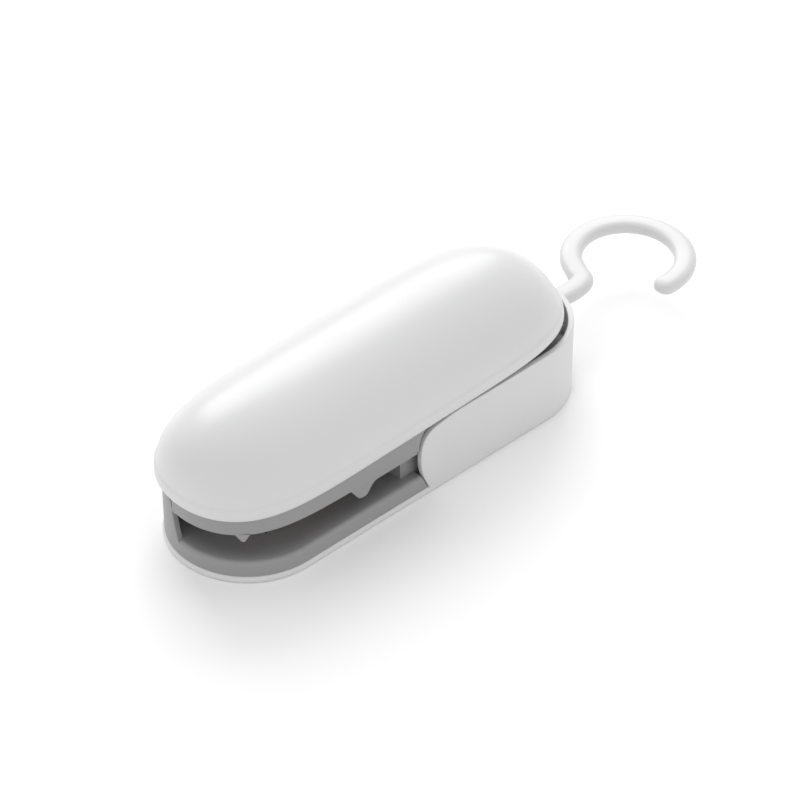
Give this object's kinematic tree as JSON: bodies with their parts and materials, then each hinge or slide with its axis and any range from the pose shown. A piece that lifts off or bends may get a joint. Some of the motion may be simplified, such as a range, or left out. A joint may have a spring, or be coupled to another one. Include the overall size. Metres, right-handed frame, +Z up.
{
  "type": "handheld bag heat sealer",
  "caption": "Palm-sized plastic-bag heat sealer: domed cover hinged over a round-ended case, grey jaws open at the nose and one side, swivel hang hook at the tail.",
  "frame": {"origin": "centre of the flat underside of the case, between its two round ends", "axes": "+X along the length to the tail and hook, +Z up to the domed cover, -Y the side on which the jaws are open"},
  "size_m": [0.1623, 0.0416, 0.0398],
  "materials": {
    "white_cover": "glossy white moulded plastic",
    "white_case": "satin-gloss white moulded plastic",
    "white_hook": "satin white moulded plastic",
    "grey_frame": "satin mid-grey moulded plastic",
    "pad_carrier": "matt grey moulded plastic",
    "silicone": "matt red-brown silicone rubber",
    "heat_proof": "matt dark brown heat-proof moulding",
    "heating_ribbon": "rolled resistance-alloy ribbon",
    "non_stick_tape": "tan coated glass-cloth tape",
    "pin_steel": "ground steel",
    "spring_steel": "drawn spring wire",
    "screw_steel": "zinc-plated steel",
    "contact_nickel": "nickel-plated spring steel",
    "cell_skin": "plain blue cell sleeve with bright ends",
    "lead_black": "black PVC insulation",
    "lead_red": "red PVC insulation",
    "switch_black": "black moulded plastic",
    "switch_red": "red moulded plastic"
  },
  "bodies": {
    "case": {"base_shell": "white_case", "lower_jaw_frame": "grey_frame", "heater_block": "heat_proof", "heating_strip": "heating_ribbon", "heater_cover": "non_stick_tape", "hinge_pin": "pin_steel", "return_spring": "spring_steel", "contact_spring_front": "contact_nickel", "contact_spring_rear": "contact_nickel", "contact_plate_negative": "contact_nickel", "contact_plate_positive": "contact_nickel", "contact_bridge": "contact_nickel", "battery_left": "cell_skin", "battery_right": "cell_skin", "lead_negative": "lead_black", "lead_positive": "lead_red", "lead_heater": "lead_red", "switch_body": "switch_black", "base_screw_1": "screw_steel", "base_screw_2": "screw_steel", "base_screw_3": "screw_steel", "base_screw_4": "screw_steel"},
    "upper_jaw": {"top_cover": "white_cover", "upper_jaw_frame": "grey_frame", "cover_screw_1": "screw_steel", "cover_screw_2": "screw_steel", "cover_screw_3": "screw_steel", "pad_holder": "pad_carrier", "silicone_pad": "silicone"},
    "switch_plunger": {"switch_plunger": "switch_red"},
    "battery_door": {"battery_door": "white_case"},
    "hook": {"hook": "white_hook", "hook_clip": "pin_steel"}
  },
  "joints": [
    {"name": "jaw_close", "type": "hinge", "parent": "case", "child": "upper_jaw", "pos_m": [0.0486, 0, 0.0188], "axis": [0, -1, 0], "range_deg": [0, 1.5], "stiffness_Nm_per_rad": 6, "springref_deg": -1.72, "deforming": ["return_spring"]},
    {"name": "switch_press", "type": "slide", "parent": "case", "child": "switch_plunger", "axis": [0, 0, 1], "range_m": [-0.0018, 0]},
    {"name": "battery_door_slide", "type": "slide", "parent": "case", "child": "battery_door", "axis": [1, 0, 0], "range_m": [0, 0.055]},
    {"name": "hook_swivel", "type": "hinge", "parent": "case", "child": "hook", "pos_m": [0.0583, 0, 0.0133], "axis": [1, 0, 0], "range_deg": [-40, 40]}
  ],
  "couplings": [
    {"joint": "switch_press", "follows": "jaw_close", "m_per_rad": -0.0616}
  ]
}
